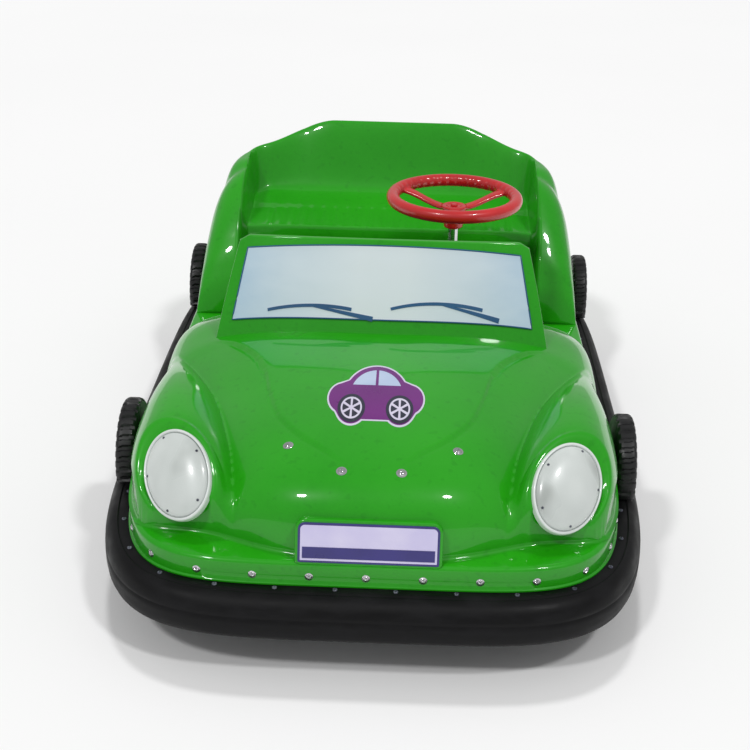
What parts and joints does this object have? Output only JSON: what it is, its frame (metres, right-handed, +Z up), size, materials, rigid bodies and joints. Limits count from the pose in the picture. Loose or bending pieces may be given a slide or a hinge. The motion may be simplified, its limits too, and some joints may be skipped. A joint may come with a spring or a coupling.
{
  "type": "bumper car",
  "caption": "Small fairground bumper car: moulded body with a low bench, rubber ring, upright screen, offset steering wheel and a swivelling drive wheel.",
  "frame": {"origin": "on the floor under the centre of the rubber ring", "axes": "+Z up, -Y the way the car faces, +X the driver's side, which is the car's left"},
  "size_m": [1.146, 1.874, 0.6348],
  "materials": {
    "green_gelcoat": "gloss gelcoat over glass-fibre plastic",
    "black_rubber": "satin",
    "tyre_rubber": "satin",
    "black_plastic": "satin",
    "red_plastic": "gloss",
    "screen_print": "satin print",
    "plate_white": "satin",
    "lamp_rim": "gloss",
    "lamp_lens": "gloss, milky",
    "grey_steel": "satin paint",
    "bright_steel": "brushed",
    "cast_metal": "cast",
    "chrome": "polished",
    "dark_chain": "oiled",
    "dark_motor": "satin",
    "floor_mat": "matt, ribbed",
    "battery_case": "matt"
  },
  "bodies": {
    "car": {"rubber_ring": "black_rubber", "steel_band": "grey_steel", "body_skirt": "green_gelcoat", "chassis_plate": "grey_steel", "front_cowl": "green_gelcoat", "windscreen_frame": "green_gelcoat", "windscreen_panel": "screen_print", "headlight_lens_left": "lamp_lens", "headlight_lens_right": "lamp_lens", "headlight_rim_left": "lamp_rim", "headlight_rim_right": "lamp_rim", "number_plate": "plate_white", "seat_tub": "green_gelcoat", "cockpit_floor": "floor_mat", "accelerator_pedal": "black_plastic", "side_wheel_front_left": "black_plastic", "side_wheel_front_right": "black_plastic", "side_wheel_rear_left": "black_plastic", "side_wheel_rear_right": "black_plastic", "battery_block": "battery_case", "rear_axle": "bright_steel", "axle_bracket_left": "grey_steel", "axle_bracket_right": "grey_steel", "swivel_bridge": "grey_steel", "steering_chain": "dark_chain", "steering_post": "grey_steel", "column_foot_bearing": "grey_steel"},
    "drive_unit": {"drive_fork": "grey_steel", "drive_motor": "dark_motor", "swivel_sprocket": "bright_steel"},
    "drive_wheel": {"drive_tyre": "tyre_rubber", "drive_hub": "cast_metal"},
    "rear_left_wheel": {"rear_left_tyre": "tyre_rubber", "rear_left_hub": "cast_metal"},
    "rear_right_wheel": {"rear_right_tyre": "tyre_rubber", "rear_right_hub": "cast_metal"},
    "steering": {"steering_wheel": "red_plastic", "steering_column": "chrome", "column_sprocket": "bright_steel"}
  },
  "joints": [
    {"name": "drive_swivel", "type": "hinge", "parent": "car", "child": "drive_unit", "pos_m": [0, -0.45, 0.2], "axis": [0, 0, 1], "range_deg": [-180, 180]},
    {"name": "steering_turn", "type": "hinge", "parent": "car", "child": "steering", "pos_m": [0.165, 0.25, 0.5], "axis": [0, 0, 1], "range_deg": [-180, 180]},
    {"name": "drive_wheel_spin", "type": "hinge", "parent": "drive_unit", "child": "drive_wheel", "pos_m": [0, -0.45, 0.09], "axis": [1, 0, 0], "continuous": true},
    {"name": "rear_left_spin", "type": "hinge", "parent": "car", "child": "rear_left_wheel", "pos_m": [0.34, 0.622, 0.09], "axis": [1, 0, 0], "continuous": true},
    {"name": "rear_right_spin", "type": "hinge", "parent": "car", "child": "rear_right_wheel", "pos_m": [-0.34, 0.622, 0.09], "axis": [1, 0, 0], "continuous": true}
  ],
  "couplings": [
    {"joint": "steering_turn", "follows": "drive_swivel", "ratio": 1}
  ]
}
